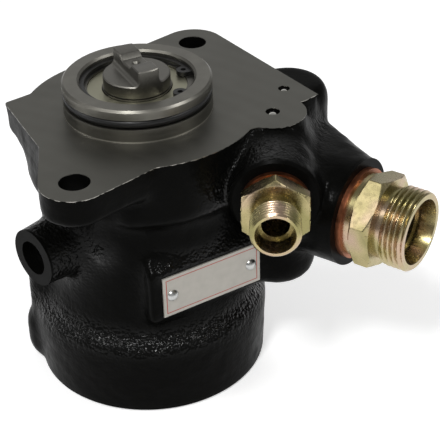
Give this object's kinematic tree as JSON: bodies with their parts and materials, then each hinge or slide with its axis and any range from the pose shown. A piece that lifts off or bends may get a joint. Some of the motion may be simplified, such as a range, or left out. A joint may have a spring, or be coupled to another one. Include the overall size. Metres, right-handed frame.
{
  "type": "power steering pump",
  "caption": "Vane-type power steering pump: cast body with a bolt flange and pilot spigot, tang-driven shaft, screwed suction and pressure unions.",
  "frame": {"origin": "centre of the pilot spigot at the flange face", "axes": "+Z along the shaft out of the drive end, -Y along the pressure union"},
  "size_m": [0.159, 0.1314, 0.1281],
  "materials": {
    "painted_casting": "black semi-gloss paint over rough sand-cast iron, flange face and spigot left bare and fine turned",
    "machined_iron": "turned grey iron",
    "ground_steel": "ground and turned steel",
    "pressed_steel": "pressed sheet steel",
    "black_oxide": "spring steel, black oxide",
    "rubber": "black nitrile rubber",
    "bronze": "sintered bronze",
    "yellow_zinc": "turned steel, yellow passivated zinc plate",
    "copper": "soft copper",
    "painted_steel": "black paint",
    "plate_aluminium": "rolled aluminium"
  },
  "bodies": {
    "pump": {"pump_housing": "painted_casting", "pilot_o_ring": "rubber", "bearing_outer_race": "ground_steel", "bearing_shield": "pressed_steel", "bearing_circlip": "black_oxide", "shaft_seal": "rubber", "shaft_bush": "bronze", "front_plate": "machined_iron", "cam_ring": "ground_steel", "rear_plate": "machined_iron", "rear_bush": "bronze", "dowel_pins": "ground_steel", "plate_spring": "ground_steel", "end_cover": "machined_iron", "cover_o_ring": "rubber", "cover_retaining_ring": "black_oxide", "suction_union": "yellow_zinc", "suction_washer": "copper", "pressure_union": "yellow_zinc", "pressure_washer": "copper", "side_plug": "painted_steel", "gallery_plugs": "ground_steel", "name_plate": "plate_aluminium", "plate_rivets": "plate_aluminium"},
    "rotating_group": {"drive_shaft": "ground_steel", "bearing_inner_race": "ground_steel", "shaft_circlip": "black_oxide", "rotor": "ground_steel", "vanes": "ground_steel", "rotor_circlip": "black_oxide"},
    "ball_set": {"bearing_balls": "ground_steel", "bearing_cage": "pressed_steel"},
    "valve_spool": {"flow_control_spool": "ground_steel", "flow_control_spring": "ground_steel"}
  },
  "joints": [
    {"name": "shaft_spin", "type": "hinge", "parent": "pump", "child": "rotating_group", "pos_m": [0, 0, 0], "axis": [0, 0, 1], "continuous": true},
    {"name": "ball_set_spin", "type": "hinge", "parent": "pump", "child": "ball_set", "pos_m": [0, 0, 0], "axis": [0, 0, 1], "continuous": true},
    {"name": "spool_slide", "type": "slide", "parent": "pump", "child": "valve_spool", "axis": [0, 1, 0], "range_m": [0, 0.006], "stiffness_N_per_m": 3000, "springref_m": -0.004, "deforming": ["flow_control_spring"]}
  ],
  "couplings": [
    {"joint": "ball_set_spin", "follows": "shaft_spin", "ratio": 0.39355}
  ]
}
